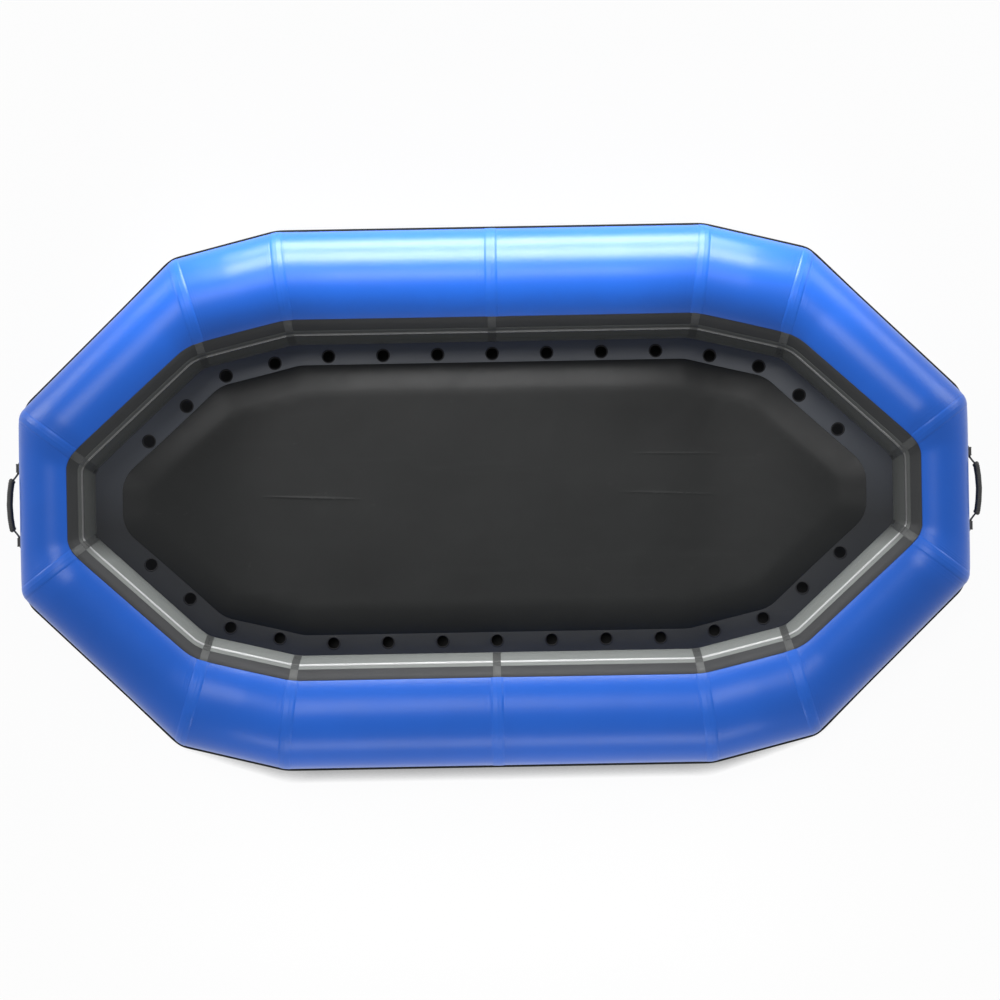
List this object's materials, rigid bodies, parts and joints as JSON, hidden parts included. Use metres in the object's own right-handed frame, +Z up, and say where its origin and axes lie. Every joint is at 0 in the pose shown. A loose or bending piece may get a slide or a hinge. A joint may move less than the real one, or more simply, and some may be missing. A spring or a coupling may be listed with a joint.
{
  "type": "whitewater raft",
  "caption": "Inflatable self-bailing whitewater raft with stepped rising tubes, a crowned floor inside a perforated flange, end carry handles and push-to-open air valves.",
  "frame": {"origin": "on the ground under the middle of the raft, level with the underside of the side tubes", "axes": "+X towards the bow along the length, +Y to port, +Z up"},
  "size_m": [3.8448, 2.1768, 0.56],
  "materials": {
    "blue_tube_fabric": "satin",
    "grey_floor_fabric": "satin",
    "grey_band_fabric": "satin",
    "black_rubber": "matte",
    "black_webbing": "matte",
    "bulkhead_fabric": "matte",
    "stitch_threads": "matte",
    "valve_plastic": "satin",
    "valve_grey_plastic": "satin",
    "spring_steel": "satin"
  },
  "bodies": {
    "raft": {"side_panel_port_fore": "blue_tube_fabric", "side_panel_port_aft": "blue_tube_fabric", "side_panel_starboard_fore": "blue_tube_fabric", "side_panel_starboard_aft": "blue_tube_fabric", "quarter_panel_port_fore": "blue_tube_fabric", "quarter_panel_port_aft": "blue_tube_fabric", "quarter_panel_starboard_fore": "blue_tube_fabric", "quarter_panel_starboard_aft": "blue_tube_fabric", "shoulder_panel_port_fore": "blue_tube_fabric", "shoulder_panel_port_aft": "blue_tube_fabric", "shoulder_panel_starboard_fore": "blue_tube_fabric", "shoulder_panel_starboard_aft": "blue_tube_fabric", "bow_end_panel": "blue_tube_fabric", "stern_end_panel": "blue_tube_fabric", "bulkhead_port": "bulkhead_fabric", "bulkhead_starboard": "bulkhead_fabric", "bulkhead_bow": "bulkhead_fabric", "bulkhead_stern": "bulkhead_fabric", "chafe_band": "grey_band_fabric", "rub_strake_port": "black_rubber", "rub_strake_starboard": "black_rubber", "drain_flange": "grey_floor_fabric", "floor_top_skin": "grey_floor_fabric", "floor_core": "stitch_threads", "floor_bottom_skin": "grey_floor_fabric", "floor_side_wall": "grey_floor_fabric", "bow_handle_patch_port": "black_rubber", "bow_handle_patch_starboard": "black_rubber", "stern_handle_patch_port": "black_rubber", "stern_handle_patch_starboard": "black_rubber", "valve_body_port_fore": "valve_plastic", "valve_body_port_aft": "valve_plastic", "valve_body_starboard_fore": "valve_plastic", "valve_body_starboard_aft": "valve_plastic", "valve_body_floor": "valve_plastic", "relief_valve_body": "valve_plastic", "valve_spring_port_fore": "spring_steel", "valve_spring_port_aft": "spring_steel", "valve_spring_starboard_fore": "spring_steel", "valve_spring_starboard_aft": "spring_steel", "valve_spring_floor": "spring_steel", "relief_valve_spring": "spring_steel"},
    "bow_handle": {"bow_handle_webbing": "black_webbing", "bow_handle_grip": "black_rubber"},
    "stern_handle": {"stern_handle_webbing": "black_webbing", "stern_handle_grip": "black_rubber"},
    "port_fore_cap": {"valve_cap_port_fore": "valve_plastic"},
    "port_aft_cap": {"valve_cap_port_aft": "valve_plastic"},
    "starboard_fore_cap": {"valve_cap_starboard_fore": "valve_plastic"},
    "starboard_aft_cap": {"valve_cap_starboard_aft": "valve_plastic"},
    "floor_cap": {"valve_cap_floor": "valve_plastic"},
    "port_fore_plunger": {"valve_plunger_port_fore": "valve_grey_plastic"},
    "port_aft_plunger": {"valve_plunger_port_aft": "valve_grey_plastic"},
    "starboard_fore_plunger": {"valve_plunger_starboard_fore": "valve_grey_plastic"},
    "starboard_aft_plunger": {"valve_plunger_starboard_aft": "valve_grey_plastic"},
    "floor_plunger": {"valve_plunger_floor": "valve_grey_plastic"},
    "relief_poppet": {"relief_valve_poppet": "valve_grey_plastic"}
  },
  "joints": [
    {"name": "bow_handle_hinge", "type": "hinge", "parent": "raft", "child": "bow_handle", "pos_m": [1.87334, 0, 0.39508], "axis": [0, 1, 0], "range_deg": [-70, 70]},
    {"name": "stern_handle_hinge", "type": "hinge", "parent": "raft", "child": "stern_handle", "pos_m": [-1.87334, 0, 0.39508], "axis": [0, -1, 0], "range_deg": [-70, 70]},
    {"name": "port_fore_cap_turn", "type": "hinge", "parent": "raft", "child": "port_fore_cap", "pos_m": [0.45, 0.66381, 0.11154], "axis": [0, -0.866, -0.5], "range_deg": [0, 90]},
    {"name": "port_aft_cap_turn", "type": "hinge", "parent": "raft", "child": "port_aft_cap", "pos_m": [-0.45, 0.66381, 0.11154], "axis": [0, -0.866, -0.5], "range_deg": [0, 90]},
    {"name": "starboard_fore_cap_turn", "type": "hinge", "parent": "raft", "child": "starboard_fore_cap", "pos_m": [0.45, -0.66381, 0.11154], "axis": [0, 0.866, -0.5], "range_deg": [0, 90]},
    {"name": "starboard_aft_cap_turn", "type": "hinge", "parent": "raft", "child": "starboard_aft_cap", "pos_m": [-0.45, -0.66381, 0.11154], "axis": [0, 0.866, -0.5], "range_deg": [0, 90]},
    {"name": "floor_cap_turn", "type": "hinge", "parent": "raft", "child": "floor_cap", "pos_m": [1.15, 0, 0.0457], "axis": [0.2111, 0, -0.9775], "range_deg": [0, 90]},
    {"name": "port_fore_plunger_push", "type": "slide", "parent": "raft", "child": "port_fore_plunger", "axis": [0, 0.866, 0.5], "range_m": [0, 0.005], "stiffness_N_per_m": 800, "springref_m": -0.003, "deforming": ["valve_spring_port_fore"]},
    {"name": "port_aft_plunger_push", "type": "slide", "parent": "raft", "child": "port_aft_plunger", "axis": [0, 0.866, 0.5], "range_m": [0, 0.005], "stiffness_N_per_m": 800, "springref_m": -0.003, "deforming": ["valve_spring_port_aft"]},
    {"name": "starboard_fore_plunger_push", "type": "slide", "parent": "raft", "child": "starboard_fore_plunger", "axis": [0, -0.866, 0.5], "range_m": [0, 0.005], "stiffness_N_per_m": 800, "springref_m": -0.003, "deforming": ["valve_spring_starboard_fore"]},
    {"name": "starboard_aft_plunger_push", "type": "slide", "parent": "raft", "child": "starboard_aft_plunger", "axis": [0, -0.866, 0.5], "range_m": [0, 0.005], "stiffness_N_per_m": 800, "springref_m": -0.003, "deforming": ["valve_spring_starboard_aft"]},
    {"name": "floor_plunger_push", "type": "slide", "parent": "raft", "child": "floor_plunger", "axis": [-0.2111, 0, 0.9775], "range_m": [0, 0.005], "stiffness_N_per_m": 800, "springref_m": -0.003, "deforming": ["valve_spring_floor"]},
    {"name": "relief_poppet_lift", "type": "slide", "parent": "raft", "child": "relief_poppet", "axis": [-0.2111, 0, -0.9775], "range_m": [0, 0.004], "stiffness_N_per_m": 600, "springref_m": -0.004, "deforming": ["relief_valve_spring"]}
  ]
}
